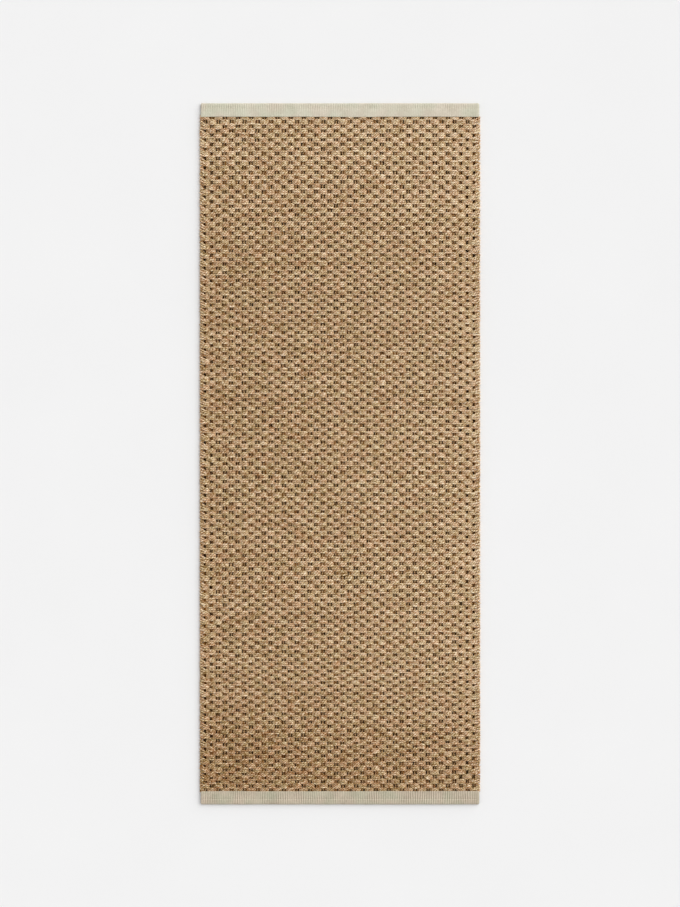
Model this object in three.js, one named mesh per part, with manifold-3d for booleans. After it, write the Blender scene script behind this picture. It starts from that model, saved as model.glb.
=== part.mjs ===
// Runner rug: jute weft woven over and under pairs of dark warp yarns, with a folded cotton
// binding machine-stitched over each raw end.
// Millimetres, +Z up. X runs across the rug and Y along it. The origin is on the floor, under
// the middle of the rug.
//
// A real rug has 158 picks of weft. Here the picks that one shuttle load makes are one solid, and
// the warp pairs change face between one length of weft and the next, so the weave still locks.

import * as THREE from "three";
import { mergeVertices } from "three/addons/utils/BufferGeometryUtils.js";
import Module from "manifold-3d";

const wasm = await Module();
wasm.setup();

const RUG_WIDTH = 800;
const RUG_LENGTH = 2000;
const RUG_THICKNESS = 9;
const CLEARANCE = 0.3;

// Warp: pairs of yarns, knotted together at each end inside the binding.
const PAIR_COUNT = 42;
const PAIR_PITCH = 18.7;
const YARN_SPACING = 8.6;
const YARN_THICKNESS = 3.2;
const KNOT_LENGTH = 8;
const KNOT_INSET = 9;

// Weft: lengths of jute, side by side along the rug.
const WEFT_LENGTHS = 8;
const CROSSING_GAP = 4;

// Binding: canvas of two layers, folded round the end of the weave.
const BINDING_REACH = 38;
const BINDING_WIDTH = 794;
const BINDING_WALL = 1.6;
const TURNED_IN = 6;
const SEAM_INSET = 14.5;
const THREAD_DIAMETER = 0.8;
const THREAD_RECESS = 0.1;
const GROOVE_WIDTH = THREAD_DIAMETER + 2 * CLEARANCE;
const GROOVE_DEPTH = THREAD_RECESS + THREAD_DIAMETER + CLEARANCE;

// Inside the binding the weave is pressed thinner, and the yarns keep to that thickness throughout.
const MIDDLE = RUG_THICKNESS / 2;
const PRESSED_HALF = MIDDLE - BINDING_WALL - CLEARANCE;
const PRESSED_LENGTH = 24;
const UPPER_YARN = { low: MIDDLE + PRESSED_HALF - YARN_THICKNESS, high: MIDDLE + PRESSED_HALF };
const LOWER_YARN = { low: MIDDLE - PRESSED_HALF, high: MIDDLE - PRESSED_HALF + YARN_THICKNESS };
const SLOT_WIDTH = YARN_SPACING + YARN_THICKNESS + 2 * CLEARANCE;

const FIELD_END = RUG_LENGTH / 2 - BINDING_REACH - CLEARANCE;
const PRESSED_END = FIELD_END + PRESSED_LENGTH;
const WEFT_LENGTH = (2 * FIELD_END - (WEFT_LENGTHS - 1) * CROSSING_GAP) / WEFT_LENGTHS;
const ARC_STEPS = 4;

const jute = new THREE.MeshStandardMaterial({ color: 0xab8e6c, roughness: 0.95, metalness: 0 });
const darkYarn = new THREE.MeshStandardMaterial({ color: 0x45290f, roughness: 0.95, metalness: 0 });
const canvas = new THREE.MeshStandardMaterial({ color: 0xd0cab9, roughness: 0.9, metalness: 0 });
const thread = new THREE.MeshStandardMaterial({ color: 0xe4dcc8, roughness: 0.8, metalness: 0 });

const rug = new THREE.Group();

function addPart(name, geometry, material, x, y, z) {
  const mesh = new THREE.Mesh(geometry, material);
  mesh.name = name;
  mesh.position.set(x, y, z);
  rug.add(mesh);
  return mesh;
}

function toSolid(geometry) {
  const bare = geometry.clone();
  bare.deleteAttribute("normal");
  bare.deleteAttribute("uv");
  const merged = mergeVertices(bare);
  return new wasm.Manifold(new wasm.Mesh({
    numProp: 3,
    vertProperties: new Float32Array(merged.attributes.position.array),
    triVerts: new Uint32Array(merged.index.array),
  }));
}

function toGeometry(solid) {
  const mesh = solid.getMesh();
  const geometry = new THREE.BufferGeometry();
  geometry.setAttribute("position", new THREE.BufferAttribute(mesh.vertProperties, 3));
  geometry.setIndex(new THREE.BufferAttribute(mesh.triVerts, 1));
  geometry.computeVertexNormals();
  return geometry;
}

function block(width, length, height, x, y, z) {
  return toSolid(new THREE.BoxGeometry(width, length, height).translate(x, y, z));
}

// Extrudes a shape drawn in X and Z along +Y, from y = 0.
function extrudeAlongY(shape, length) {
  const geometry = new THREE.ExtrudeGeometry(shape, {
    depth: length,
    bevelEnabled: false,
    curveSegments: ARC_STEPS,
  });
  return geometry.rotateX(Math.PI / 2).translate(0, length, 0);
}

// Extrudes a shape drawn in Y and Z along X, centred on x = 0.
function extrudeAlongX(shape, width) {
  const geometry = new THREE.ExtrudeGeometry(shape, {
    depth: width,
    bevelEnabled: false,
    curveSegments: ARC_STEPS,
  });
  return geometry.rotateY(Math.PI / 2).rotateX(Math.PI / 2).translate(-width / 2, 0, 0);
}

function pairX(pair) {
  return (pair - (PAIR_COUNT - 1) / 2) * PAIR_PITCH;
}

// A pair lies on the upper face over every other length of weft, and its neighbours over the rest.
function isUpper(pair, length) {
  return (pair + length) % 2 === 0;
}

function weftStart(length) {
  return -FIELD_END + length * (WEFT_LENGTH + CROSSING_GAP);
}

// Section of the weft across the rug: it dips under each upper pair, rises over each lower pair,
// and turns round at the two selvedges.
function weftSection(length) {
  const side = RUG_WIDTH / 2 - MIDDLE;
  const dip = UPPER_YARN.low - CLEARANCE;
  const rise = LOWER_YARN.high + CLEARANCE;
  const section = new THREE.Shape();
  section.moveTo(-side, 0);
  for (let pair = 0; pair < PAIR_COUNT; pair += 1) {
    if (!isUpper(pair, length)) {
      section.lineTo(pairX(pair) - SLOT_WIDTH / 2, 0);
      section.lineTo(pairX(pair) - SLOT_WIDTH / 2, rise);
      section.lineTo(pairX(pair) + SLOT_WIDTH / 2, rise);
      section.lineTo(pairX(pair) + SLOT_WIDTH / 2, 0);
    }
  }
  section.lineTo(side, 0);
  section.absarc(side, MIDDLE, MIDDLE, -Math.PI / 2, Math.PI / 2, false);
  for (let pair = PAIR_COUNT - 1; pair >= 0; pair -= 1) {
    if (isUpper(pair, length)) {
      section.lineTo(pairX(pair) + SLOT_WIDTH / 2, RUG_THICKNESS);
      section.lineTo(pairX(pair) + SLOT_WIDTH / 2, dip);
      section.lineTo(pairX(pair) - SLOT_WIDTH / 2, dip);
      section.lineTo(pairX(pair) - SLOT_WIDTH / 2, RUG_THICKNESS);
    }
  }
  section.lineTo(-side, RUG_THICKNESS);
  section.absarc(-side, MIDDLE, MIDDLE, Math.PI / 2, 1.5 * Math.PI, false);
  return section;
}

// The first length of weft runs on into the binding, where it is pressed thinner and its
// selvedges stop short of the binding's turned-in ends.
function pressedWeft(length) {
  const whole = extrudeAlongY(weftSection(length), WEFT_LENGTH + PRESSED_LENGTH)
    .translate(0, -PRESSED_END, 0);
  const cutLength = 2 * PRESSED_LENGTH;
  const cutY = -FIELD_END - PRESSED_LENGTH;
  const cutHeight = MIDDLE - PRESSED_HALF;
  const sideWidth = (RUG_WIDTH - BINDING_WIDTH) / 2 + TURNED_IN + CLEARANCE;
  const above = block(2 * RUG_WIDTH, cutLength, 2 * cutHeight, 0, cutY, RUG_THICKNESS);
  const below = block(2 * RUG_WIDTH, cutLength, 2 * cutHeight, 0, cutY, 0);
  const left = block(2 * sideWidth, cutLength, 2 * RUG_THICKNESS, -RUG_WIDTH / 2, cutY, MIDDLE);
  const right = block(2 * sideWidth, cutLength, 2 * RUG_THICKNESS, RUG_WIDTH / 2, cutY, MIDDLE);
  return toGeometry(toSolid(whole).subtract(above).subtract(below).subtract(left).subtract(right));
}

// One yarn seen from the side: it steps from face to face between the lengths of weft.
function yarnSide(firstIsUpper) {
  const end = RUG_LENGTH / 2 - KNOT_INSET;
  const places = [];
  for (let length = 0; length < WEFT_LENGTHS; length += 1) {
    const level = isUpper(firstIsUpper ? 0 : 1, length) ? UPPER_YARN : LOWER_YARN;
    const start = weftStart(length);
    places.push({ y: length === 0 ? -end : start, level });
    places.push({ y: length === WEFT_LENGTHS - 1 ? end : start + WEFT_LENGTH, level });
  }
  const side = new THREE.Shape();
  side.moveTo(places[0].y, places[0].level.low);
  places.slice(1).forEach((place) => side.lineTo(place.y, place.level.low));
  places.reverse().forEach((place) => side.lineTo(place.y, place.level.high));
  side.closePath();
  return side;
}

function warpPair(firstIsUpper) {
  const yarn = extrudeAlongX(yarnSide(firstIsUpper), YARN_THICKNESS);
  const left = toSolid(yarn.clone().translate(-YARN_SPACING / 2, 0, 0));
  const right = toSolid(yarn.clone().translate(YARN_SPACING / 2, 0, 0));
  const knotY = RUG_LENGTH / 2 - KNOT_INSET;
  const knotWidth = YARN_SPACING + YARN_THICKNESS;
  const near = block(knotWidth, KNOT_LENGTH, 2 * PRESSED_HALF, 0, -knotY, MIDDLE);
  const far = block(knotWidth, KNOT_LENGTH, 2 * PRESSED_HALF, 0, knotY, MIDDLE);
  return toGeometry(left.add(right).add(near).add(far));
}

// Section of the binding along the rug: two legs and a round fold at y = 0, with a groove in each
// leg for its seam.
function bindingSection(wall) {
  const fold = MIDDLE;
  const inner = fold - wall;
  const groove = SEAM_INSET - GROOVE_WIDTH / 2;
  const section = new THREE.Shape();
  section.moveTo(BINDING_REACH, 0);
  section.lineTo(BINDING_REACH, wall);
  section.lineTo(fold, wall);
  section.absarc(fold, MIDDLE, inner, 1.5 * Math.PI, Math.PI / 2, true);
  section.lineTo(BINDING_REACH, RUG_THICKNESS - wall);
  section.lineTo(BINDING_REACH, RUG_THICKNESS);
  section.lineTo(groove + GROOVE_WIDTH, RUG_THICKNESS);
  section.lineTo(groove + GROOVE_WIDTH, RUG_THICKNESS - GROOVE_DEPTH);
  section.lineTo(groove, RUG_THICKNESS - GROOVE_DEPTH);
  section.lineTo(groove, RUG_THICKNESS);
  section.lineTo(fold, RUG_THICKNESS);
  section.absarc(fold, MIDDLE, fold, Math.PI / 2, 1.5 * Math.PI, false);
  section.lineTo(groove, 0);
  section.lineTo(groove, GROOVE_DEPTH);
  section.lineTo(groove + GROOVE_WIDTH, GROOVE_DEPTH);
  section.lineTo(groove + GROOVE_WIDTH, 0);
  section.closePath();
  return section;
}

function binding() {
  const lining = extrudeAlongX(bindingSection(2 * BINDING_WALL), TURNED_IN);
  const offset = (BINDING_WIDTH - TURNED_IN) / 2;
  const body = toSolid(extrudeAlongX(bindingSection(BINDING_WALL), BINDING_WIDTH));
  const left = toSolid(lining.clone().translate(-offset, 0, 0));
  const right = toSolid(lining.clone().translate(offset, 0, 0));
  return toGeometry(body.add(left).add(right));
}

function number(index) {
  return String(index + 1).padStart(2, "0");
}

function addWeft() {
  const pressed = pressedWeft(0);
  addPart("weft_length_01", pressed, jute, 0, 0, 0);
  for (let length = 1; length < WEFT_LENGTHS - 1; length += 1) {
    const geometry = extrudeAlongY(weftSection(length), WEFT_LENGTH);
    addPart(`weft_length_${number(length)}`, geometry, jute, 0, weftStart(length), 0);
  }
  // Turned half round, the first length is the last one.
  const last = addPart(`weft_length_${number(WEFT_LENGTHS - 1)}`, pressed, jute, 0, 0, 0);
  last.rotation.z = Math.PI;
}

function addWarp() {
  const upperFirst = warpPair(true);
  const lowerFirst = warpPair(false);
  for (let pair = 0; pair < PAIR_COUNT; pair += 1) {
    const geometry = isUpper(pair, 0) ? upperFirst : lowerFirst;
    addPart(`warp_pair_${number(pair)}`, geometry, darkYarn, pairX(pair), 0, 0);
  }
}

function addBinding(end, turn) {
  const edge = Math.cos(turn) * RUG_LENGTH / 2;
  const seamY = Math.cos(turn) * (RUG_LENGTH / 2 - SEAM_INSET);
  const tape = addPart(`${end}_binding`, binding(), canvas, 0, -edge, 0);
  tape.rotation.z = turn;
  const line = new THREE.CylinderGeometry(
    THREAD_DIAMETER / 2, THREAD_DIAMETER / 2, BINDING_WIDTH - 2 * CLEARANCE, 6,
  ).rotateZ(Math.PI / 2);
  const threadZ = THREAD_RECESS + THREAD_DIAMETER / 2;
  addPart(`${end}_needle_thread`, line, thread, 0, -seamY, RUG_THICKNESS - threadZ);
  addPart(`${end}_bobbin_thread`, line, thread, 0, -seamY, threadZ);
}

addWeft();
addWarp();
addBinding("near", 0);
addBinding("far", Math.PI);

export default rug;
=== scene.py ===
"""Runner rug: the woven jute field, its dark warp, the canvas bindings and their seams.

Lengths are in metres. X runs across the rug, Y along it and Z up, as in the CAD frame.
Picks are counted from the far end (+Y), and warp pairs from the left (-X).
"""
import math

import bpy
import numpy as np
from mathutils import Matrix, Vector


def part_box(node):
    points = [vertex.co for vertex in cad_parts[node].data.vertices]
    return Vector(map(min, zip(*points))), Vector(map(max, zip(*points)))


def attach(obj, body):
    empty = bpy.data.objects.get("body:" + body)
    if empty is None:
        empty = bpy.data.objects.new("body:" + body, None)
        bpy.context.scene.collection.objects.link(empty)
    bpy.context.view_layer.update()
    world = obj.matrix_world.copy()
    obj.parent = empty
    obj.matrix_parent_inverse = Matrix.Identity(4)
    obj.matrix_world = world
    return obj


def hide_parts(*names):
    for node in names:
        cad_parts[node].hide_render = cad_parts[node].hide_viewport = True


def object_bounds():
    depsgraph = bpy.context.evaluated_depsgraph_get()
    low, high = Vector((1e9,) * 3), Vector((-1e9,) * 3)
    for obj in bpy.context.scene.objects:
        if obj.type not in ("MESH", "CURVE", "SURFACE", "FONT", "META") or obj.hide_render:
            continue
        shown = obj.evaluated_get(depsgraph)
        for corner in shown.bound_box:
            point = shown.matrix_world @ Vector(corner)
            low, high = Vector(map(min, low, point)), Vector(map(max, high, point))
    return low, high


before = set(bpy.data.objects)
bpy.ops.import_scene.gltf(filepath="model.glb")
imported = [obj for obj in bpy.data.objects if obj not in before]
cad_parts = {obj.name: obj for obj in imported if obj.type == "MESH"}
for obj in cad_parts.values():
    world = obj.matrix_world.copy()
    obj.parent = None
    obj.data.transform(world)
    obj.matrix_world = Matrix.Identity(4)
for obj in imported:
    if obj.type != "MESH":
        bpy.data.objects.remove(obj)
CAD_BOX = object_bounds()

MM = 0.001
SEED = 41
SIDES = 6  # of the section of every yarn, strand and thread
ACROSS_RUG = np.array([1.0, 0.0, 0.0])
ALONG_RUG = np.array([0.0, 1.0, 0.0])

# The rug, from the CAD frame
PAIRS = sum(name.startswith("warp_pair_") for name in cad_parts)
LENGTHS = sum(name.startswith("weft_length_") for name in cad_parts)
HALF_WIDTH = CAD_BOX[1].x
HALF_LENGTH = CAD_BOX[1].y
THICKNESS = CAD_BOX[1].z
MIDDLE = THICKNESS / 2
BINDING_LOW, BINDING_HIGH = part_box("far_binding")
FIELD_END = BINDING_LOW.y
PAIR_X = np.array([sum(c.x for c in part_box(f"warp_pair_{i + 1:02d}")) / 2 for i in range(PAIRS)])
SEAM_Y = sum(c.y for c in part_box("far_needle_thread")) / 2
KNOT_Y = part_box("warp_pair_01")[1].y

# Picks: how many show, how many lie pressed inside each binding, and where the beat changes
PICKS = 158
PRESSED_PICKS = 2
FIRST_PICK = FIELD_END - 3.5 * MM
PRESSED_PITCH = 9.5 * MM
PRESSED_GAP = 2 * MM
PITCH_JITTER = 0.05
ROOM_LIMITS = (0.85, 1.1)  # between which a pick's width follows its pitch
BEAT_SWELLS = (  # place along the rug, change of pitch, spread
    (0.09, 0.12, 0.07),
    (0.28, -0.075, 0.05),
    (0.53, 0.05, 0.03),
    (0.67, 0.08, 0.035),
    (0.84, -0.12, 0.04),
)

# How the picks bow. Places along the rug are shares of its length from the far end.
SAG = 2.2 * MM
SAG_FADES = (0.55, 0.7)
SKEW = 2.4 * MM
SKEW_STARTS = (0.55, 0.68)
NEAR_SKEW = 3.2 * MM
NEAR_SKEW_PLACE = 0.93
NEAR_SKEW_SPREAD = 0.035
STRAIGHT_AT_ENDS = ((0.02, 0.12), (0.955, 0.975))

# Jute: each pick is a bundle of three strands, flattened where it floats over or under a pair
STRANDS = 3
STEPS_PER_PAIR = 8
STRAND_SPACING = 4.1 * MM
STRAND_SPREAD = 1.25 * MM
STRAND_THINNING = 0.13
STRAND_HALF_WIDTH = 1.95 * MM
STRAND_FLATTENING = 0.8 * MM
STRAND_HALF_HEIGHT = 1.35 * MM
STRAND_LAY = 15.5 * MM
PLY_DEPTH = 0.12
PICK_RISE = 2.45 * MM
LOW_RISE = PICK_RISE * 0.8
PRESSED_RISE = 1.1 * MM
PRESSED_HALF_HEIGHT = 1.1 * MM
HELD_BY_BINDING = 0.3

# How the jute strays: a whole pick and each strand along Y, and each strand in height and section
PICK_WANDER = 0.85 * MM
STRAND_WANDER = 0.32 * MM
STRAND_LIFT = 0.25 * MM
STRAND_CROWN = 0.3 * MM
STRAND_SWELL = 0.1

# Jute at the selvedges, where each strand folds back into the next pick
TURN_STEPS = 14
TURN_SPREAD = 8 * MM
TURN_CLEARANCE = 1.0 * MM
TURN_NARROWING = 0.1
TURN_THICKENING = 0.05
FAN_STRAY = 0.5 * MM
REACH_STRAY = 0.6 * MM
PRESSED_EDGE = HALF_WIDTH - 13 * MM

# Jute colour: drifts along a strand as (strength, step), painted light on the right side of the
# rug, painted light at the far end and painted shade at the near end, and how much warmer that
# shade is
BRIGHT_DRIFTS = ((0.6, 0.035), (0.4, 0.3), (0.5, 0.011))
WARM_DRIFTS = ((0.6, 0.03), (0.4, 0.25))
PAINTED_RIGHT_SIDE_LIGHT = 0.4
PAINTED_FAR_END_LIGHT = 0.5
FAR_END_LIGHT_FADES = (0.03, 0.25)
NEAR_END_SHADE_STARTS = (0.8, 0.96)
PAINTED_SHADE_WARMTH = 0.2

# Warp: pairs of yarns, drawn together at the selvedges
YARN_SPACING = 7.6 * MM
YARN_HALF_WIDTH = 1.34 * MM
YARN_HALF_HEIGHT = 1.45 * MM
YARN_RISE = 1.15 * MM
YARN_LAY = 9 * MM
YARN_STEPS_PER_PICK = 2
INSIDE_BINDING_RISE = 0.5 * MM
KNOT_POINTS = np.array([4, 7]) * MM
PAIR_SHIFT = -1.6 * MM
PAIR_WANDER = 0.8 * MM
YARN_WANDER = 0.5 * MM
YARN_LIFT = 0.1 * MM
YARN_SWELL = 0.12
SPACING_JITTER = 0.26
KNOT_SWELL = 0.35
KNOT_CLOSENESS = 0.75
YARN_BRIGHT_DRIFTS = ((0.5, 0.1), (1.0, 0.024))
DRAWN_TOGETHER = {0: 0.4, 1: 0.55, 37: 0.85, 38: 0.8, 39: 0.55, 40: 0.45, 41: 0.4}


def drift(places, step, rng):
    """Smooth random values from -1 to 1 along places, that turn about once in each step."""
    first = places.min() - step
    values = rng.uniform(-1, 1, int((places.max() - first) / step) + 3)
    at = (places - first) / step
    low = np.floor(at).astype(int)
    part = at - low
    part = part * part * (3 - 2 * part)
    return values[low] * (1 - part) + values[low + 1] * part


def layered(places, drifts, rng):
    """The sum of drifts along places, given as (strength, step)."""
    return sum(strength * drift(places, step, rng) for strength, step in drifts)


def smoothstep(value, low, high):
    t = np.clip((value - low) / (high - low), 0, 1)
    return t * t * (3 - 2 * t)


def hump(value, centre, spread):
    return np.exp(-(((value - centre) / spread) ** 2))


def flattened(wave):
    """A cosine wave with broader tops and hollows."""
    return wave * (1.5 - 0.5 * wave * wave)


# ---------------------------------------------------------------- meshes

def tube(points, half_width, half_height, lay, start, level):
    """A closed six-sided tube of two plies along points, as (vertices, quads, yarn coordinates).

    level is the level axis that lies across the tube. The coordinates of each corner of a quad
    are its turn round the yarn, from 0 to 1, and its place along it."""
    ahead = np.gradient(points, axis=0)
    ahead /= np.linalg.norm(ahead, axis=1)[:, None]
    across = level - ahead * (ahead @ level)[:, None]
    across /= np.linalg.norm(across, axis=1)[:, None]
    up = np.cross(ahead, across)
    along = np.concatenate([[0], np.cumsum(np.linalg.norm(np.diff(points, axis=0), axis=1))])
    along += start
    turn_share = np.arange(SIDES) / SIDES
    angle = 2 * math.pi * turn_share
    ply = 1 + PLY_DEPTH * np.cos(2 * (angle[None, :] + 2 * math.pi * along[:, None] / lay))
    ring = (
        points[:, None, :]
        + across[:, None, :] * (half_width[:, None] * np.cos(angle) * ply)[:, :, None]
        + up[:, None, :] * (half_height[:, None] * np.sin(angle) * ply)[:, :, None]
    )
    count = len(points)
    side = np.arange(SIDES)
    beside = (side + 1) % SIDES
    low = np.arange(count - 1)[:, None] * SIDES
    quads = np.stack([low + side, low + beside, low + beside + SIDES, low + side + SIDES], 2)
    turns = np.stack([turn_share, turn_share + 1 / SIDES, turn_share + 1 / SIDES, turn_share], 1)
    turns = np.repeat(turns[None, :, :], count - 1, 0)
    places = np.stack([along[:-1], along[:-1], along[1:], along[1:]], 1)
    places = np.repeat(places[:, None, :], SIDES, 1)
    yarn = np.stack([turns, places, np.zeros_like(turns)], 3).reshape(-1, 4, 3)
    caps = np.array([[3, 2, 1, 0], [5, 4, 3, 0]])
    caps = np.concatenate([caps, caps[:, ::-1] + (count - 1) * SIDES])
    cap_turns = (caps % SIDES) / SIDES
    cap_yarn = np.stack([cap_turns, along[caps // SIDES], 0 * cap_turns], 2)
    faces = np.concatenate([quads.reshape(-1, 4), caps])
    return ring.reshape(-1, 3), faces, np.concatenate([yarn, cap_yarn])


def make_mesh(name, parts):
    """One object from parts of (vertices, quads, {attribute: values at vertices or corners})."""
    vertices = np.concatenate([p[0] for p in parts])
    vertices[:, 2] = np.maximum(vertices[:, 2], 0)  # nothing dips into the floor
    starts = np.cumsum([0] + [len(p[0]) for p in parts[:-1]])
    loops = np.concatenate([p[1] + s for p, s in zip(parts, starts)]).reshape(-1).astype(np.int32)
    mesh = bpy.data.meshes.new(name)
    mesh.vertices.add(len(vertices))
    mesh.vertices.foreach_set("co", vertices.astype(np.float32).reshape(-1))
    mesh.loops.add(len(loops))
    mesh.loops.foreach_set("vertex_index", loops)
    mesh.polygons.add(len(loops) // 4)
    mesh.polygons.foreach_set("loop_start", np.arange(0, len(loops), 4, dtype=np.int32))
    mesh.polygons.foreach_set("use_smooth", np.ones(len(loops) // 4, bool))
    for key in parts[0][2]:
        values = np.concatenate([p[2][key].reshape(-1, 3) for p in parts]).astype(np.float32)
        domain = "POINT" if len(values) == len(vertices) else "CORNER"
        made = mesh.attributes.new(key, "FLOAT_VECTOR", domain)
        made.data.foreach_set("vector", values.reshape(-1))
    mesh.update(calc_edges=True)
    piece = bpy.data.objects.new(name, mesh)
    bpy.context.scene.collection.objects.link(piece)
    return piece


def place(piece, material, slot, *nodes):
    """Gives a piece its material and its body, and hides the CAD nodes that it stands for."""
    piece.data.materials.append(material)
    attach(piece, "root")
    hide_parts(*nodes)
    return piece


# ---------------------------------------------------------------- the lay of the weave

def pick_places():
    """The Y of each pick at the middle of the rug, with the pressed ones at both ends."""
    at = np.linspace(0, 1, PICKS)
    pitch = np.ones(PICKS)
    for centre, change, spread in BEAT_SWELLS:
        pitch += change * hump(at, centre, spread)
    pitch *= 1 + PITCH_JITTER * np.random.default_rng(SEED).uniform(-1, 1, PICKS)
    along = np.concatenate([[0], np.cumsum((pitch[1:] + pitch[:-1]) / 2)])
    shown = FIRST_PICK - 2 * FIRST_PICK * along / along[-1]
    inside = PRESSED_PITCH * np.arange(PRESSED_PICKS, 0, -1)
    far, near = shown[0] + PRESSED_GAP + inside, shown[-1] - PRESSED_GAP - inside[::-1]
    return np.concatenate([far, shown, near])


PICK_Y = pick_places()
PICK_NUMBERS = np.arange(-PRESSED_PICKS, PICKS + PRESSED_PICKS)


def is_pressed(pick):
    return pick < 0 or pick >= PICKS


def share_along(y):
    """0 at the far end of the rug and 1 at the near end."""
    return 0.5 - 0.5 * y / HALF_LENGTH


def bow(x, y):
    """How far a pick lies off the straight: picks sag at the edges, and skew near the near end."""
    across = x / HALF_WIDTH
    along = share_along(y)
    far, near = STRAIGHT_AT_ENDS
    free = smoothstep(along, *far) * (1 - smoothstep(along, *near))
    sag = -SAG * (1 - smoothstep(along, *SAG_FADES))
    skew = SKEW * smoothstep(along, *SKEW_STARTS)
    skew += NEAR_SKEW * hump(along, NEAR_SKEW_PLACE, NEAR_SKEW_SPREAD)
    return free * (sag * across * across + skew * across)


def free_of_binding(y):
    """0 where the bindings hold the warp in place, and 1 well away from them."""
    return smoothstep(HALF_LENGTH - np.abs(y), 0.03, 0.1)


def pair_places():
    """A function of Y for the X of each pair, with its slow wander along the rug."""
    rng = np.random.default_rng(SEED + 1)
    line = np.linspace(-HALF_LENGTH, HALF_LENGTH, 161)
    wander = [PAIR_WANDER * drift(line, 0.21, rng) for _ in range(PAIRS)]
    free = free_of_binding(line)
    tables = [PAIR_X[i] + (PAIR_SHIFT + wander[i]) * free for i in range(PAIRS)]
    return lambda pair, y: np.interp(y, line, tables[pair])


pair_x = pair_places()


def pick_wave(place_among_pairs, pick):
    """1 where the pick floats over a pair, and -1 where it lies under one."""
    side = 1 if pick % 2 == 0 else -1
    return flattened(np.cos(math.pi * place_among_pairs)) * side


# ---------------------------------------------------------------- jute weft

PITCH = -np.gradient(PICK_Y)
ROOM = np.clip(PITCH / PITCH.mean(), *ROOM_LIMITS)


def pick_row(pick, strand):
    """One strand across the rug, from left to right: its points, section and wave."""
    number = pick + PRESSED_PICKS
    rng = np.random.default_rng([SEED, number, strand])
    together = np.random.default_rng([SEED + 6, number])
    y = PICK_Y[number]
    pressed = is_pressed(pick)
    steps = STEPS_PER_PAIR // 2 if pressed else STEPS_PER_PAIR
    among = np.linspace(0, PAIRS - 1, (PAIRS - 1) * steps + 1)
    columns = np.array([pair_x(i, y) for i in range(PAIRS)])
    x = np.interp(among, np.arange(PAIRS), columns)
    wave = pick_wave(among, pick)
    flat = wave * wave
    beside_binding = pick in (0, PICKS - 1)
    loose = HELD_BY_BINDING if beside_binding or pressed else 1.0
    order = 1 - strand
    spacing = ROOM[number] * (STRAND_SPACING + loose * STRAND_SPREAD * flat)
    swell = 1 + STRAND_SWELL * drift(x, 15 * MM, rng)
    wander = PICK_WANDER * drift(x, 34 * MM, together) + STRAND_WANDER * drift(x, 14 * MM, rng)
    y_line = y + bow(x, y) + order * spacing + loose * wander
    rise = PRESSED_RISE if pressed else LOW_RISE if beside_binding else PICK_RISE
    crown = STRAND_CROWN * (1 - abs(order)) * wave
    z_line = MIDDLE + rise * wave + loose * (crown + STRAND_LIFT * drift(x, 17 * MM, rng))
    half_width = ROOM[number] * (STRAND_HALF_WIDTH + loose * STRAND_FLATTENING * flat) * swell
    half_height = (PRESSED_HALF_HEIGHT if pressed else STRAND_HALF_HEIGHT) * (0.5 + 0.5 * swell)
    half_height *= 1 - STRAND_THINNING * flat
    row = np.stack([x, y_line, z_line], 1), half_width, half_height, wave
    return tuple(part[::-1] for part in row) if pick % 2 else row


def turn(row, next_row, pick, strand):
    """A strand folded over the selvedge, from the end of a pick's row to the start of the next."""
    rng = np.random.default_rng([SEED + 7, pick + PRESSED_PICKS, strand])
    side = -1 if pick % 2 else 1
    end, start = row[0][-1], next_row[0][0]
    t = (np.arange(TURN_STEPS) + 1) / (TURN_STEPS + 1)
    pressed = is_pressed(pick), is_pressed(pick + 1)
    fan = (1 - strand) * (TURN_SPREAD - STRAND_SPACING - STRAND_SPREAD)
    fan += FAN_STRAY * rng.uniform(-1, 1)
    moved = t
    if pressed[0] != pressed[1]:
        fan = 0
        moved = smoothstep(t, 0, 0.3) if pressed[0] else smoothstep(t, 0.7, 1)
    edge = PRESSED_EDGE if all(pressed) else HALF_WIDTH
    radius = abs(end[2] - start[2]) / 2
    reach = edge - TURN_CLEARANCE - abs(end[0] + start[0]) / 2 + REACH_STRAY * rng.uniform(-1, 1)
    level = reach - radius
    length = 2 * level + math.pi * radius
    angle = np.clip((t * length - level) / radius, 0, math.pi)
    out = np.minimum(np.minimum(t, 1 - t) * length, level) + radius * np.sin(angle)
    x = end[0] + (start[0] - end[0]) * t + side * out
    y = end[1] + (start[1] - end[1]) * moved + fan * np.sin(math.pi * t)
    z = (end[2] + start[2]) / 2 + (end[2] - start[2]) / 2 * np.cos(angle)
    half_width = 0.5 * (row[1][-1] + next_row[1][0]) * (1 - TURN_NARROWING * np.sin(angle))
    half_height = 0.5 * (row[2][-1] + next_row[2][0]) * (1 + TURN_THICKENING * np.sin(angle))
    return np.stack([x, y, z], 1), half_width, half_height, row[3][-1] * np.cos(angle)


def strand_path(picks, strand):
    """One strand of a weft length, to and fro across the rug and over the selvedges.

    It ends just inside the next length's first pick."""
    runs = [pick_row(picks[0], strand)]
    for pick in picks[1:]:
        row = pick_row(pick, strand)
        runs += [turn(runs[-1], row, pick - 1, strand), row]
    if picks[-1] < PICK_NUMBERS[-1]:
        row = pick_row(picks[-1] + 1, strand)
        runs += [turn(runs[-1], row, picks[-1], strand), tuple(part[:3] for part in row)]
    return [np.concatenate(part) for part in zip(*runs)]


def tapered(half, steps=3):
    """Rounds off both ends of a strand."""
    half = half.copy()
    ends = np.sin(np.linspace(0.25, 1, steps) * math.pi / 2)
    half[:steps] *= ends
    half[-steps:] *= ends[::-1]
    return half


def painted_light_along(y):
    """Painted light along the rug: the jute paler at the far end and in painted shade at the near
    end.
    """
    along = share_along(y)
    far = PAINTED_FAR_END_LIGHT * (1 - smoothstep(along, *FAR_END_LIGHT_FADES))
    return far - smoothstep(along, *NEAR_END_SHADE_STARTS)


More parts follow.
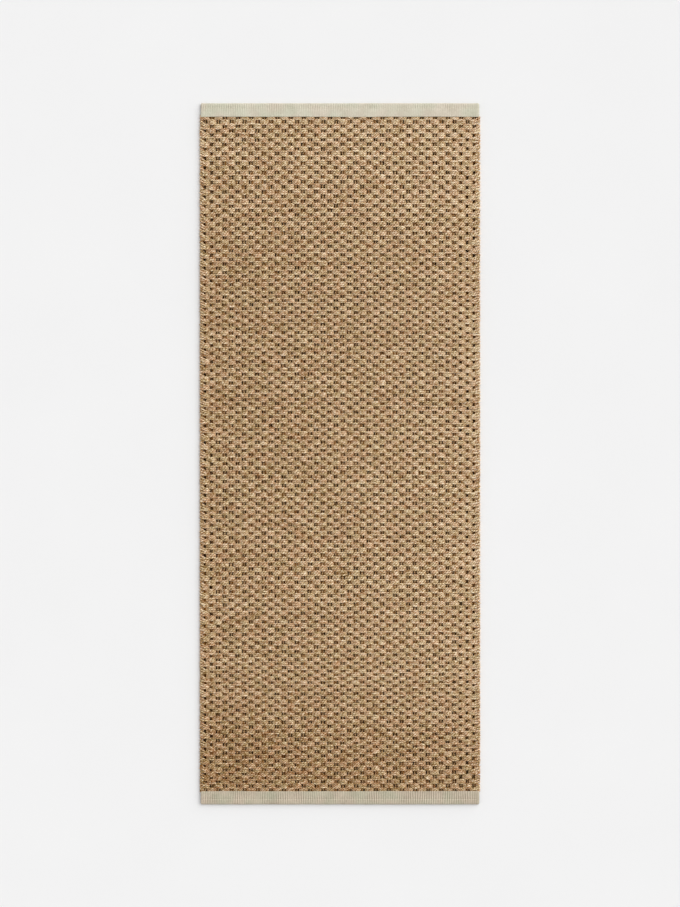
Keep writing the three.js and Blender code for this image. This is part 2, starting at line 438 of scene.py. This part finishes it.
def jute_tones(points, wave, rng):
    """Brightness, warmth and wave along a strand, one row for each point."""
    along = np.concatenate([[0], np.cumsum(np.linalg.norm(np.diff(points, axis=0), axis=1))])
    bright = layered(along, BRIGHT_DRIFTS, rng)
    # painted light: paler at the far end and on the right side, painted shade at the near end
    bright += painted_light_along(points[:, 1]) + PAINTED_RIGHT_SIDE_LIGHT * points[:, 0] / HALF_WIDTH
    # the painted shade at the near end is also made warmer
    warm = layered(along, WARM_DRIFTS, rng) - PAINTED_SHADE_WARMTH * painted_light_along(points[:, 1])
    return np.stack([bright, warm, wave], 1)


def share_picks(number):
    """The picks that belong to one weft length of the CAD model."""
    low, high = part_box(f"weft_length_{number + 1:02d}")
    gap = 2 * MM
    inside = (PICK_Y >= low.y - gap) & (PICK_Y < high.y + gap)
    if number == 0:
        inside |= PICK_Y < low.y
    if number == LENGTHS - 1:
        inside |= PICK_Y > high.y
    return PICK_NUMBERS[inside]


def add_weft(material):
    """The weft, in two pieces for each length, from the near end."""
    for number in range(LENGTHS):
        picks = share_picks(number)
        half = len(picks) // 2
        for letter, share in (("b", picks[:half]), ("a", picks[half:])):
            parts = []
            for strand in range(STRANDS):
                points, half_width, half_height, wave = strand_path(share, strand)
                rng = np.random.default_rng([SEED + 5, share[0] + PRESSED_PICKS, strand])
                vertices, quads, yarn = tube(
                    points, tapered(half_width), tapered(half_height), STRAND_LAY,
                    rng.uniform(0, 5), ALONG_RUG,
                )
                tone = np.repeat(jute_tones(points, wave, rng), SIDES, 0)
                parts.append((vertices, quads, {"yarn": yarn, "tone": tone}))
            piece = make_mesh(f"jute_picks_{number + 1:02d}{letter}", parts)
            place(piece, material, "jute_weft", f"weft_length_{number + 1:02d}")


# ---------------------------------------------------------------- dark warp

def yarn_path(pair, side, rng):
    """One warp yarn from end to end, over and under the picks, into the knot at each end."""
    steps = (len(PICK_NUMBERS) - 1) * YARN_STEPS_PER_PICK
    among = np.linspace(PICK_NUMBERS[0], PICK_NUMBERS[-1], steps + 1)
    knot = KNOT_Y - KNOT_POINTS
    y = np.concatenate([knot, np.interp(among, PICK_NUMBERS, PICK_Y), -knot[::-1]])
    wave = np.pad(-flattened(np.cos(math.pi * (among + pair))), len(KNOT_POINTS))
    in_knot = 1 - smoothstep(HALF_LENGTH - np.abs(y), 0.01, 0.02)
    free = free_of_binding(y)
    spacing = YARN_SPACING * (1 - (1 - DRAWN_TOGETHER.get(pair, 1.0)) * free)
    spacing *= 1 + SPACING_JITTER * free * drift(y, 0.02, rng)
    x = pair_x(pair, y) + side * spacing / 2 * (1 - KNOT_CLOSENESS * in_knot)
    x += YARN_WANDER * free * drift(y, 0.025, rng)
    rise = np.where(np.abs(y) > FIELD_END, INSIDE_BINDING_RISE, YARN_RISE)
    z = MIDDLE + rise * wave + YARN_LIFT * free * drift(y, 0.015, rng)
    half = 1 + YARN_SWELL * drift(y, 0.012, rng) + KNOT_SWELL * in_knot
    return np.stack([x, y + bow(x, y), z], 1), YARN_HALF_WIDTH * half, YARN_HALF_HEIGHT * half


def add_warp(material):
    for pair in range(PAIRS):
        parts = []
        for side in (-1, 1):
            rng = np.random.default_rng([SEED + 2, pair, side + 1])
            points, half_width, half_height = yarn_path(pair, side, rng)
            vertices, quads, yarn = tube(
                points, tapered(half_width), tapered(half_height), YARN_LAY,
                rng.uniform(0, 5), ACROSS_RUG,
            )
            along = np.linspace(0, 2 * HALF_LENGTH, len(points))
            bright = layered(along, YARN_BRIGHT_DRIFTS, rng)
            tone = np.repeat(bright[:, None] * ACROSS_RUG, SIDES, 0)
            parts.append((vertices, quads, {"yarn": yarn, "tone": tone}))
        piece = make_mesh(f"warp_yarns_{pair + 1:02d}", parts)
        place(piece, material, "dark_warp", f"warp_pair_{pair + 1:02d}")


# ---------------------------------------------------------------- bindings and seams

CANVAS = 0.8 * MM
HEM = 26 * MM
END_TURNED_IN = 8 * MM
STITCH = 6.5 * MM
RIB_HEIGHT = 0.42 * MM
STEPS_PER_RIB = 5
SEAM_SINK = 0.6 * MM
SEAM_SPREAD = 2.4 * MM
THREAD_RADIUS = 0.42 * MM
THREAD_LAY = 2.5 * MM
LOOSE_FOLD = 0.43 * MM
TIGHT_FOLD = 0.45 * MM
REACH = BINDING_HIGH.y - BINDING_LOW.y
CANVAS_TOP = THICKNESS - CANVAS / 2
PUCKER_WANDER = 1.6 * MM
PUCKER_SPREAD = 9 * MM
CANVAS_LIFT = 0.25 * MM
THICK_END_LIFT = 0.3 * MM
END_PINCH = 0.22
CORNER_ROUNDING = 2.2 * MM
EDGE_DRIFTS = ((0.5 * MM, 0.06), (0.3 * MM, 0.015))

# Points along each part of the canvas
TURNED_STEPS = 4
FOLD_STEPS = 5
HEM_STEPS = 6
LEG_STEPS = 16
BEND_STEPS = 10

# A seam's thread: how deep it dives, how proud each stitch stands and how it strays
STEPS_PER_STITCH = 8
STITCH_DIVE = 1.0 * MM
STITCH_PROUD = 0.45 * MM
STITCH_STRAY = 0.15 * MM
SEAM_MARGIN = 6 * MM


def canvas_columns():
    """The canvas from left to right, with its ends turned in, as (x, depth, fold angle)."""
    half = BINDING_HIGH.x - TIGHT_FOLD - CANVAS / 2
    count = int(2 * half / STITCH * STEPS_PER_RIB)
    turned = np.linspace(half - END_TURNED_IN, half, TURNED_STEPS + 1)[:-1]
    angle = np.linspace(math.pi, 0, FOLD_STEPS + 1)[:-1]
    fold_x = half + TIGHT_FOLD * np.sin(angle)
    fold_depth = TIGHT_FOLD * (1 - np.cos(angle))
    main = np.linspace(-half, half, count)
    x = np.concatenate([-turned, -fold_x, main, fold_x[::-1], turned[::-1]])
    deep = np.full(len(turned), 2 * TIGHT_FOLD)
    depth = np.concatenate([deep, fold_depth, 0 * main, fold_depth[::-1], deep])
    back = np.full(len(turned), math.pi)
    fold = np.concatenate([back, angle, 0 * main, angle[::-1], back])
    return x, depth, fold


def canvas_profile(fold, reach):
    """The canvas seen from the side, for each hem fold radius: from_end, z, and the way it faces.

    It starts at the raw edge turned under the upper leg, runs out to that leg's edge, back over
    the upper face, round the end of the rug, and the same below."""
    fold = fold[:, None]
    edge = reach - fold - CANVAS / 2
    level = np.zeros_like(fold)
    radius = CANVAS_TOP - MIDDLE
    hem = np.linspace(-HEM, 0, HEM_STEPS + 1)[None, :-1]
    arc = np.linspace(-math.pi / 2, math.pi / 2, FOLD_STEPS + 1)[None, :]
    leg = np.linspace(0, 1, LEG_STEPS + 1)[None, 1:-1]
    bend = np.linspace(math.pi / 2, 3 * math.pi / 2, BEND_STEPS + 1)[None, :]
    start = radius + CANVAS / 2
    from_end = [edge + hem, edge + fold * np.cos(arc), edge + (start - edge) * leg]
    under_fold = CANVAS_TOP - fold + fold * np.sin(arc)
    z = [CANVAS_TOP - 2 * fold + 0 * hem, under_fold, CANVAS_TOP + level * leg]
    out_y = [level * hem, np.cos(arc) + level, level * leg]
    out_z = [level * hem - 1, np.sin(arc) + level, level * leg + 1]
    upper = [np.concatenate(part, 1) for part in (from_end, z, out_y, out_z)]
    lower = [part[:, ::-1] for part in upper]
    return (
        np.concatenate([upper[0], start + radius * np.cos(bend) + level, lower[0]], 1),
        np.concatenate([upper[1], MIDDLE + radius * np.sin(bend) + level, THICKNESS - lower[1]], 1),
        np.concatenate([upper[2], np.cos(bend) + level, lower[2]], 1),
        np.concatenate([upper[3], np.sin(bend) + level, -lower[3]], 1),
        (upper[0].shape[1], bend.shape[1]),
    )


def ribs(x, from_end, deepest, carry, rng):
    """Puckers of the canvas, one for each stitch, in step with the stitches at the seam.

    They are deepest at one distance from the end, and keep a share of that depth elsewhere."""
    off_seam = (from_end - (HALF_LENGTH - SEAM_Y)) / (20 * MM)
    wander = PUCKER_WANDER * drift(x, 0.03, rng)[:, None] * off_seam
    strength = (0.8 + 0.5 * drift(x, 0.02, rng) + 0.3 * drift(x, 0.2, rng))[:, None]
    wave = -np.cos(2 * math.pi * (x[:, None] + wander) / STITCH)
    return wave * strength * (carry + (1 - carry) * hump(from_end, deepest, PUCKER_SPREAD))


def sleeve_quads(count, sides, rows, flip):
    """The faces of count rings of sides points, closed at both ends across rows of points."""
    step = np.arange(count - 1)[:, None] * sides
    side = np.arange(sides)[None, :]
    low, beside = step + side, step + (side + 1) % sides
    quads = np.stack([low, low + sides, beside + sides, beside], 2).reshape(-1, 4)
    strip = np.arange(rows - 1)
    cap = np.stack([strip, strip + 1, sides - 2 - strip, sides - 1 - strip], 1)
    quads = np.concatenate([quads, cap, (cap + (count - 1) * sides)[:, ::-1]])
    return quads[:, ::-1] if flip else quads


def add_binding(end, side, material, thread, extra, deepest, carry):
    """The canvas folded over one end of the rug, and its seam: side is 1 at +Y and -1 at -Y.

    The canvas reaches extra further over the rug than in the CAD model."""
    rng = np.random.default_rng([SEED + 3, side + 1])
    half_width = BINDING_HIGH.x
    x, depth, fold = canvas_columns()
    turned_in = half_width - END_TURNED_IN
    thick_end = smoothstep(np.abs(x), turned_in - 3 * MM, turned_in)
    from_end, z, out_y, out_z, (leg_rows, bend_rows) = canvas_profile(
        LOOSE_FOLD + 2 * TIGHT_FOLD * thick_end, REACH + extra
    )
    rows = from_end.shape[1]
    proud_y, proud_z = out_y.copy(), out_z.copy()
    proud_y[:, :leg_rows] = 0
    proud_z[:, :leg_rows] = 1
    proud_y[:, leg_rows + bend_rows:] = 0
    proud_z[:, leg_rows + bend_rows:] = -1

    puckers = ribs(x, from_end, deepest, carry, rng)
    lift = RIB_HEIGHT * (puckers - 1) + CANVAS_LIFT * drift(x, 0.04, rng)[:, None]
    lift -= SEAM_SINK * hump(from_end, HALF_LENGTH - SEAM_Y, SEAM_SPREAD) * np.abs(proud_z)
    lift += THICK_END_LIFT * thick_end[:, None]
    pinch = 1 - END_PINCH * smoothstep(np.abs(x), half_width - 5 * MM, half_width)[:, None]
    inward = smoothstep(from_end, 20 * MM, REACH)
    edge_wave = layered(x, EDGE_DRIFTS, rng)[:, None] * inward
    at_corner = smoothstep(np.abs(x), half_width - 4 * MM, half_width)[:, None]
    corner = CORNER_ROUNDING * (1 - inward) * at_corner ** 2

    def surface(offset):
        face = offset * np.cos(fold)[:, None] - depth[:, None]
        y = from_end + out_y * face + proud_y * lift + edge_wave + corner
        height = MIDDLE + (z + out_z * face + proud_z * lift - MIDDLE) * pinch
        across = x + np.sign(x) * offset * np.sin(fold)
        return np.stack([np.repeat(across[:, None], rows, 1), side * (HALF_LENGTH - y), height], 2)

    ring = np.concatenate([surface(CANVAS / 2), surface(-CANVAS / 2)[:, ::-1]], 1)
    count, sides = ring.shape[:2]
    middle = count // 2
    steps = np.hypot(np.diff(from_end[middle]), np.diff(z[middle]))
    down = np.concatenate([[0], np.cumsum(steps)])
    along = np.concatenate([[0], np.cumsum(np.hypot(np.diff(x), np.diff(depth)))])
    both = np.concatenate([down, down[::-1]])
    cloth = np.stack(
        [
            np.repeat(along[:, None], sides, 1),
            np.repeat(both[None, :], count, 0),
            np.concatenate([puckers, puckers[:, ::-1]], 1),
        ],
        2,
    )
    part = (ring.reshape(-1, 3), sleeve_quads(count, sides, rows, side < 0), {"cloth": cloth})
    piece = place(make_mesh(f"{end}_canvas", [part]), material, "cotton_binding", f"{end}_binding")
    seams = [add_seam(end, side, face, thread) for face in (1, -1)]


def add_seam(end, side, face, material):
    """One thread of a lockstitched seam: face is 1 for the needle thread, -1 for the bobbin's."""
    stitches = int((2 * BINDING_HIGH.x - SEAM_MARGIN) / STITCH)
    stitches -= stitches % 2
    t = np.arange(stitches * STEPS_PER_STITCH + 1) / STEPS_PER_STITCH - stitches / 2
    x = t * STITCH
    rng = np.random.default_rng([SEED + 4, side + 1, face + 1])
    hop = np.abs(np.sin(math.pi * t)) ** 0.5
    surface = MIDDLE - SEAM_SINK - RIB_HEIGHT
    z = MIDDLE + face * (surface - STITCH_DIVE * (1 - hop) + STITCH_PROUD * hop)
    y = side * SEAM_Y + STITCH_STRAY * drift(x, 0.02, rng)
    radius = np.full(len(x), THREAD_RADIUS)
    points = np.stack([x, y, z], 1)
    vertices, quads, yarn = tube(points, radius, radius, THREAD_LAY, 0, ALONG_RUG)
    kind = "needle" if face > 0 else "bobbin"
    piece = make_mesh(f"{end}_{kind}_stitches", [(vertices, quads, {"yarn": yarn})])
    return place(piece, material, "sewing_thread", f"{end}_{kind}_thread")


# ---------------------------------------------------------------- materials

# How far fibres run along a yarn in one turn round it, against the twist of its plies
JUTE_FIBRE_LAY = -60 * MM
WARP_FIBRE_LAY = -40 * MM
THREAD_FIBRE_LAY = -12 * MM
CANVAS_THREAD = 1.1 * MM


def srgb(red, green, blue):
    def linear(value):
        value /= 255
        return value / 12.92 if value <= 0.04045 else ((value + 0.055) / 1.055) ** 2.4
    return (linear(red), linear(green), linear(blue), 1.0)


class Nodes:
    """A material and short ways to add and link its nodes."""

    def __init__(self, name):
        self.material = bpy.data.materials.new(name)
        self.material.use_nodes = True
        self.tree = self.material.node_tree
        self.shader = self.tree.nodes["Principled BSDF"]

    def add(self, kind, inputs=None, **settings):
        node = self.tree.nodes.new(kind)
        for key, value in settings.items():
            setattr(node, key, value)
        for key, value in (inputs or {}).items():
            self.put(value, node.inputs[key])
        return node

    def put(self, value, socket):
        if isinstance(value, bpy.types.NodeSocket):
            self.tree.links.new(value, socket)
        else:
            socket.default_value = value

    def attribute(self, name):
        return self.add("ShaderNodeAttribute", attribute_name=name).outputs["Vector"]

    def split(self, vector):
        return self.add("ShaderNodeSeparateXYZ", {0: vector}).outputs

    def scaled(self, vector, scale):
        inputs = {0: vector, 1: scale}
        return self.add("ShaderNodeVectorMath", inputs, operation="MULTIPLY").outputs[0]

    def noise(self, vector, scale, detail=3.0, roughness=0.55):
        inputs = {"Vector": vector, "Scale": scale, "Detail": detail, "Roughness": roughness}
        return self.add("ShaderNodeTexNoise", inputs).outputs["Fac"]

    def ramp(self, value, stops):
        node = self.add("ShaderNodeValToRGB", {0: value})
        elements = node.color_ramp.elements
        while len(elements) < len(stops):
            elements.new(0.5)
        for element, (position, colour) in zip(elements, stops):
            element.position = position
            element.color = colour
        return node.outputs["Color"]

    def blend(self, factor, first, second, mode="MIX"):
        node = self.add("ShaderNodeMix", data_type="RGBA", blend_type=mode)
        self.put(factor, node.inputs["Factor"])
        self.put(first, node.inputs[6])
        self.put(second, node.inputs[7])
        return node.outputs[2]

    def math(self, operation, first, second=0.0):
        return self.add("ShaderNodeMath", {0: first, 1: second}, operation=operation).outputs[0]

    def weighed(self, base, *shares):
        """The base, and for each (value, middle, weight) the value's offset from its middle."""
        total = base
        for value, middle, weight in shares:
            offset = self.math("SUBTRACT", value, middle)
            total = self.math("ADD", total, self.math("MULTIPLY", offset, weight))
        return total

    def yarn_angle(self, lay):
        """The place on a yarn as (angle, length along it).

        The angle is counted from a line that turns once in each lay."""
        turned, along, _ = self.split(self.attribute("yarn"))
        angle = self.math("MULTIPLY", turned, 2 * math.pi)
        return self.math("ADD", angle, self.math("MULTIPLY", along, 2 * math.pi / lay)), along

    def fibres(self, lay):
        """A point for each place on a yarn's surface, for noise that follows twisted fibres."""
        angle, along = self.yarn_angle(lay)
        inputs = {0: self.math("COSINE", angle), 1: self.math("SINE", angle), 2: along}
        return self.add("ShaderNodeCombineXYZ", inputs).outputs[0]

    def plies(self, lay):
        """The height of two plies twisted together: 1 on their crests and 0 between them."""
        angle, _ = self.yarn_angle(lay)
        return self.math("POWER", self.math("ABSOLUTE", self.math("COSINE", angle)), 0.6)

    def bump(self, height, distance, strength=1.0, normal=None):
        inputs = {"Height": height, "Distance": distance, "Strength": strength}
        if normal is not None:
            inputs["Normal"] = normal
        return self.add("ShaderNodeBump", inputs).outputs["Normal"]

    def finish(self, colour, roughness, normal, gloss=0.2):
        self.put(colour, self.shader.inputs["Base Color"])
        self.put(roughness, self.shader.inputs["Roughness"])
        self.put(normal, self.shader.inputs["Normal"])
        self.shader.inputs["Specular IOR Level"].default_value = gloss
        return self.material


def jute_material():
    """Straw-coloured jute: pale and brown fibres in each ply, and green, pink and orange casts,
    with painted light and shade in its hollows and on its plies.
    """
    m = Nodes("natural_jute")
    bright, warm, wave = m.split(m.attribute("tone"))
    where = m.add("ShaderNodeTexCoord").outputs["Object"]
    fibre = m.fibres(JUTE_FIBRE_LAY)
    fine = m.noise(m.scaled(fibre, (14.0, 14.0, 100.0)), 1.0, 3.0, 0.65)
    coarse = m.noise(m.scaled(fibre, (1.5, 1.5, 140.0)), 1.0, 2.0)
    plies = m.plies(STRAND_LAY)
    light = m.weighed(
        0.507,
        (fine, 0.5, 0.75),
        (coarse, 0.5, 1.25),
        (bright, 0.0, 0.055),
        # painted light: lighter where the jute dips under a pair than where it floats over one; the
        # plies share paints highlights on ply crests and shade in the grooves
        (wave, 0.0, -0.045),
        (plies, 0.8, 0.33),
    )
    colour = m.ramp(light, (
        (0.25, srgb(108, 74, 28)),
        (0.38, srgb(159, 125, 80)),
        (0.47, srgb(207, 177, 141)),
        (0.56, srgb(237, 211, 182)),
        (0.67, srgb(255, 241, 219)),
    ))
    cast = m.noise(m.scaled(where, (45.0, 85.0, 60.0)), 1.0, 1.0)
    casts = m.ramp(m.weighed(cast, (warm, 0.0, 0.06)), (
        (0.28, srgb(142, 166, 118)),
        (0.43, srgb(188, 184, 142)),
        (0.57, srgb(204, 176, 164)),
        (0.74, srgb(214, 154, 124)),
    ))
    colour = m.blend(0.3, colour, casts, "OVERLAY")
    # painted shade: a warm tint that darkens the jute where it dips deepest under a pair
    painted_hollow_shade = m.ramp(m.weighed(0.5, (wave, 0.0, 0.5)), (
        (0.0, srgb(240, 220, 192)),
        (0.08, srgb(255, 240, 217)),
        (0.9, srgb(255, 255, 255)),
    ))
    colour = m.blend(1.0, colour, painted_hollow_shade, "MULTIPLY")
    normal = m.bump(plies, 0.5 * MM, 0.8, m.bump(fine, 0.3 * MM, 0.8))
    return m.finish(colour, 0.95, normal, 0.08)


def warp_material():
    """Dark brown yarn, with paler fibres at the surface."""
    m = Nodes("dark_brown_yarn")
    bright = m.split(m.attribute("tone"))[0]
    fibre = m.fibres(WARP_FIBRE_LAY)
    fine = m.noise(m.scaled(fibre, (7.0, 7.0, 160.0)), 1.0, 3.0, 0.6)
    plies = m.plies(YARN_LAY)
    # the plies share paints highlights on the ply crests and shade in the grooves
    light = m.weighed(fine, (bright, 0.0, 0.3), (plies, 0.8, 0.2))
    colour = m.ramp(light, (
        (0.28, srgb(12, 3, 0)),
        (0.50, srgb(36, 15, 0)),
        (0.64, srgb(74, 38, 4)),
        (0.78, srgb(132, 88, 38)),
    ))
    normal = m.bump(plies, 0.4 * MM, 0.8, m.bump(fine, 0.25 * MM, 0.8))
    return m.finish(colour, 0.98, normal, 0.03)


def canvas_material(name, light, shade, painted_rib_shade):
    """Unbleached cotton canvas: a fine plain weave with slubs, a faint cast, and painted shade in
    the hollows of its puckers with painted light on their crests.
    """
    m = Nodes(name)
    cloth = m.attribute("cloth")
    where = m.add("ShaderNodeTexCoord").outputs["Object"]
    across, down, pucker = m.split(cloth)
    thread = 2 * math.pi / CANVAS_THREAD
    warp = m.math("SINE", m.math("MULTIPLY", across, thread))
    weft = m.math("SINE", m.math("MULTIPLY", down, thread))
    weave = m.math("ADD", m.math("MULTIPLY", m.math("MULTIPLY", warp, weft), 0.5), 0.5)
    slub = m.noise(m.scaled(cloth, (900.0, 120.0, 0.0)), 1.0, 3.0)
    stain = m.noise(where, 28.0, 2.0)
    # the pucker share is painted shade in the pucker hollows and painted light on their crests
    value = m.weighed(0.0, (slub, 0.0, 0.5), (stain, 0.0, 0.3), (pucker, 0.0, painted_rib_shade))
    colour = m.ramp(value, ((0.22, shade), (0.58, light)))
    casts = m.ramp(m.noise(where, 19.0, 1.0), (
        (0.35, srgb(204, 214, 190)),
        (0.65, srgb(226, 204, 190)),
    ))
    colour = m.blend(0.22, colour, casts)
    colour = m.blend(m.math("MULTIPLY", weave, 0.12), colour, shade)
    normal = m.bump(weave, 0.16 * MM, 0.7, m.bump(slub, 0.15 * MM, 0.6))
    return m.finish(colour, 0.9, normal)


def thread_material():
    """Cream cotton sewing thread of two plies."""
    m = Nodes("cream_thread")
    fibre = m.fibres(THREAD_FIBRE_LAY)
    fine = m.noise(m.scaled(fibre, (3.0, 3.0, 500.0)), 1.0, 2.0)
    plies = m.plies(THREAD_LAY)
    # plies adds painted highlights on the ply crests and painted shade in the grooves
    value = m.math("MULTIPLY", m.math("ADD", fine, plies), 0.5)
    colour = m.ramp(value, ((0.3, srgb(190, 180, 158)), (0.7, srgb(238, 232, 214))))
    return m.finish(colour, 0.75, m.bump(plies, 0.15 * MM, 0.8))


def floor_material():
    m = Nodes("pale_floor")
    where = m.add("ShaderNodeTexCoord").outputs["Object"]
    grain = m.noise(where, 3.0, 2.0)
    colour = m.ramp(grain, ((0.3, (0.846, 0.855, 0.872, 1)), (0.7, (0.856, 0.865, 0.882, 1))))
    return m.finish(colour, 0.9, m.bump(grain, 0.1 * MM, 0.1))


# ---------------------------------------------------------------- stage

VIEW_HEIGHT = 2.5846
VIEW_SHIFT = 0.9 * MM
LENS = 100
SENSOR = 36
SUN_STRENGTH = 2.45
SUN_WIDTH = math.radians(75)
SUN_AZIMUTH = math.radians(36)
SUN_ELEVATION = math.radians(34)
ROOM_TONES = ((0.0, (0.893, 0.893, 0.893, 1)), (0.35, (0.603, 0.597, 0.588, 1)))
FLOOR_HALF_SIZE = 30
FLOOR_GAP = 0.2 * MM


def add_camera():
    camera = bpy.data.objects.new("camera", bpy.data.cameras.new("camera"))
    camera.data.lens = LENS
    camera.data.sensor_width = SENSOR
    camera.location = (0, VIEW_SHIFT, THICKNESS + VIEW_HEIGHT * LENS / SENSOR)
    camera.data.clip_end = 100
    bpy.context.scene.collection.objects.link(camera)
    bpy.context.scene.camera = camera


def add_light():
    sun = bpy.data.objects.new("key_light", bpy.data.lights.new("key_light", "SUN"))
    sun.data.energy = SUN_STRENGTH
    sun.data.angle = SUN_WIDTH
    sun.data.color = (1.0, 0.985, 0.96)
    sun.rotation_euler = (0, math.pi / 2 - SUN_ELEVATION, SUN_AZIMUTH)
    bpy.context.scene.collection.objects.link(sun)


def add_room():
    """Even light from all round, which pales towards the horizon to the colour of the floor."""
    world = bpy.data.worlds.new("soft_room")
    world.use_nodes = True
    tree = world.node_tree
    background = tree.nodes["Background"]
    where = tree.nodes.new("ShaderNodeTexCoord")
    height = tree.nodes.new("ShaderNodeSeparateXYZ")
    light = tree.nodes.new("ShaderNodeValToRGB")
    for element, (level, colour) in zip(light.color_ramp.elements, ROOM_TONES):
        element.position = level
        element.color = colour
    tree.links.new(where.outputs["Generated"], height.inputs[0])
    tree.links.new(height.outputs["Z"], light.inputs["Fac"])
    tree.links.new(light.outputs["Color"], background.inputs["Color"])
    bpy.context.scene.world = world


def add_floor():
    size = FLOOR_HALF_SIZE
    mesh = bpy.data.meshes.new("floor")
    corners = [(-size, -size, 0), (size, -size, 0), (size, size, 0), (-size, size, 0)]
    mesh.from_pydata(corners, [], [(0, 1, 2, 3)])
    floor = bpy.data.objects.new("floor", mesh)
    floor.location.z = -FLOOR_GAP
    mesh.materials.append(floor_material())
    bpy.context.scene.collection.objects.link(floor)


bpy.context.scene.view_settings.view_transform = "Standard"
add_camera()
add_light()
add_room()
add_floor()
add_weft(jute_material())
add_warp(warp_material())
cotton_thread = thread_material()
# the far and near canvas are lit and shaded copies of one cloth: painted light on the far one,
# painted shade on the near one
far_canvas = canvas_material("far_canvas", srgb(228, 223, 207), srgb(176, 170, 150), painted_rib_shade=0.09)
add_binding("far", 1, far_canvas, cotton_thread, extra=1.6 * MM, deepest=11 * MM, carry=0.3)
near_canvas = canvas_material("near_canvas", srgb(208, 197, 176), srgb(138, 128, 108), painted_rib_shade=0.24)
add_binding("near", -1, near_canvas, cotton_thread, extra=0.6 * MM, deepest=19 * MM, carry=0.6)
